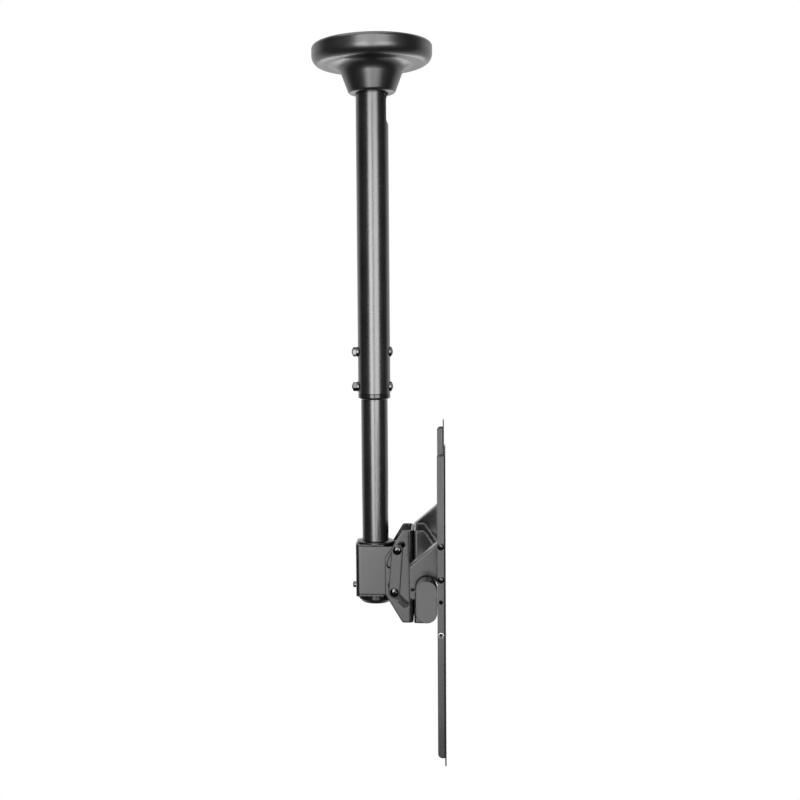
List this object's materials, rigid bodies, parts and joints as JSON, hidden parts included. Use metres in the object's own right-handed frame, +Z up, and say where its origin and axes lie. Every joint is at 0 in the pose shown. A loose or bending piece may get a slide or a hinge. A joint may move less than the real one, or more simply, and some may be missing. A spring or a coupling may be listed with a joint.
{
  "type": "telescopic ceiling tv mount",
  "caption": "Black steel ceiling mount for a flat screen: flared cover, telescopic pole, swivel box, slotted tilt bracket, oval rail and hook-on screen arms.",
  "frame": {"origin": "centre of the ceiling plate's top face, on the ceiling's surface", "axes": "+Z up along the pole, +X towards the screen, +Y towards the mount's left arm"},
  "size_m": [0.204, 0.4456, 1.059],
  "materials": {
    "black_steel": "satin black powder coat",
    "black_plastic": "fine-grained black moulded plastic",
    "black_fastener": "glossy black oxide",
    "zinc_fastener": "bright zinc plate"
  },
  "bodies": {
    "ceiling": {"ceiling_plate": "black_steel", "upper_tube": "black_steel", "guide_bush": "black_plastic", "saddle_washers": "black_fastener", "height_bolts": "black_fastener", "height_nuts": "black_fastener"},
    "cover": {"ceiling_cover": "black_plastic"},
    "mast": {"lower_tube": "black_steel", "glide_ring": "black_plastic", "retaining_flange": "black_steel", "bottom_cap": "black_plastic"},
    "swivel": {"swivel_collar": "black_plastic", "thrust_bush": "black_plastic", "box_top_plate": "black_steel", "box_floor_plate": "black_steel", "swivel_box": "black_steel", "swivel_lock_screw": "black_fastener", "lock_screw_nut": "zinc_fastener", "tilt_screws": "black_fastener", "tilt_nuts": "zinc_fastener", "tilt_washers": "black_plastic", "tilt_link_left": "black_steel", "tilt_link_right": "black_steel"},
    "tilt": {"tilt_bracket": "black_steel", "level_pivot_bolt": "zinc_fastener", "level_pivot_nut": "zinc_fastener", "level_washer": "black_plastic", "level_lock_bolts": "zinc_fastener", "level_lock_nuts": "zinc_fastener"},
    "rail": {"rail_bracket": "black_steel", "rail": "black_steel", "rail_end_cap_left": "black_plastic", "rail_end_cap_right": "black_plastic"},
    "arm_left": {"screen_arm_left": "black_steel", "rail_hook_left": "black_steel", "arm_bolts_left": "black_fastener", "arm_nuts_left": "zinc_fastener", "rivet_nut_left": "zinc_fastener"},
    "arm_right": {"screen_arm_right": "black_steel", "rail_hook_right": "black_steel", "arm_bolts_right": "black_fastener", "arm_nuts_right": "zinc_fastener", "rivet_nut_right": "zinc_fastener"}
  },
  "joints": [
    {"name": "cover_slide", "type": "slide", "parent": "ceiling", "child": "cover", "axis": [0, 0, 1], "range_m": [-0.25, 0]},
    {"name": "height_slide", "type": "slide", "parent": "ceiling", "child": "mast", "axis": [0, 0, 1], "range_m": [-0.11, 0.22]},
    {"name": "swivel", "type": "hinge", "parent": "mast", "child": "swivel", "pos_m": [0, 0, -0.8288], "axis": [0, 0, 1], "range_deg": [-180, 180]},
    {"name": "tilt", "type": "hinge", "parent": "swivel", "child": "tilt", "pos_m": [0.0829, 0, -0.8238], "axis": [0, 1, 0], "range_deg": [-10, 25]},
    {"name": "level", "type": "hinge", "parent": "tilt", "child": "rail", "pos_m": [0.0615, 0, -0.8288], "axis": [1, 0, 0], "range_deg": [-3, 3]},
    {"name": "left_arm_slide", "type": "slide", "parent": "rail", "child": "arm_left", "axis": [0, 1, 0], "range_m": [-0.1, 0.015]},
    {"name": "right_arm_slide", "type": "slide", "parent": "rail", "child": "arm_right", "axis": [0, 1, 0], "range_m": [-0.015, 0.1]}
  ]
}
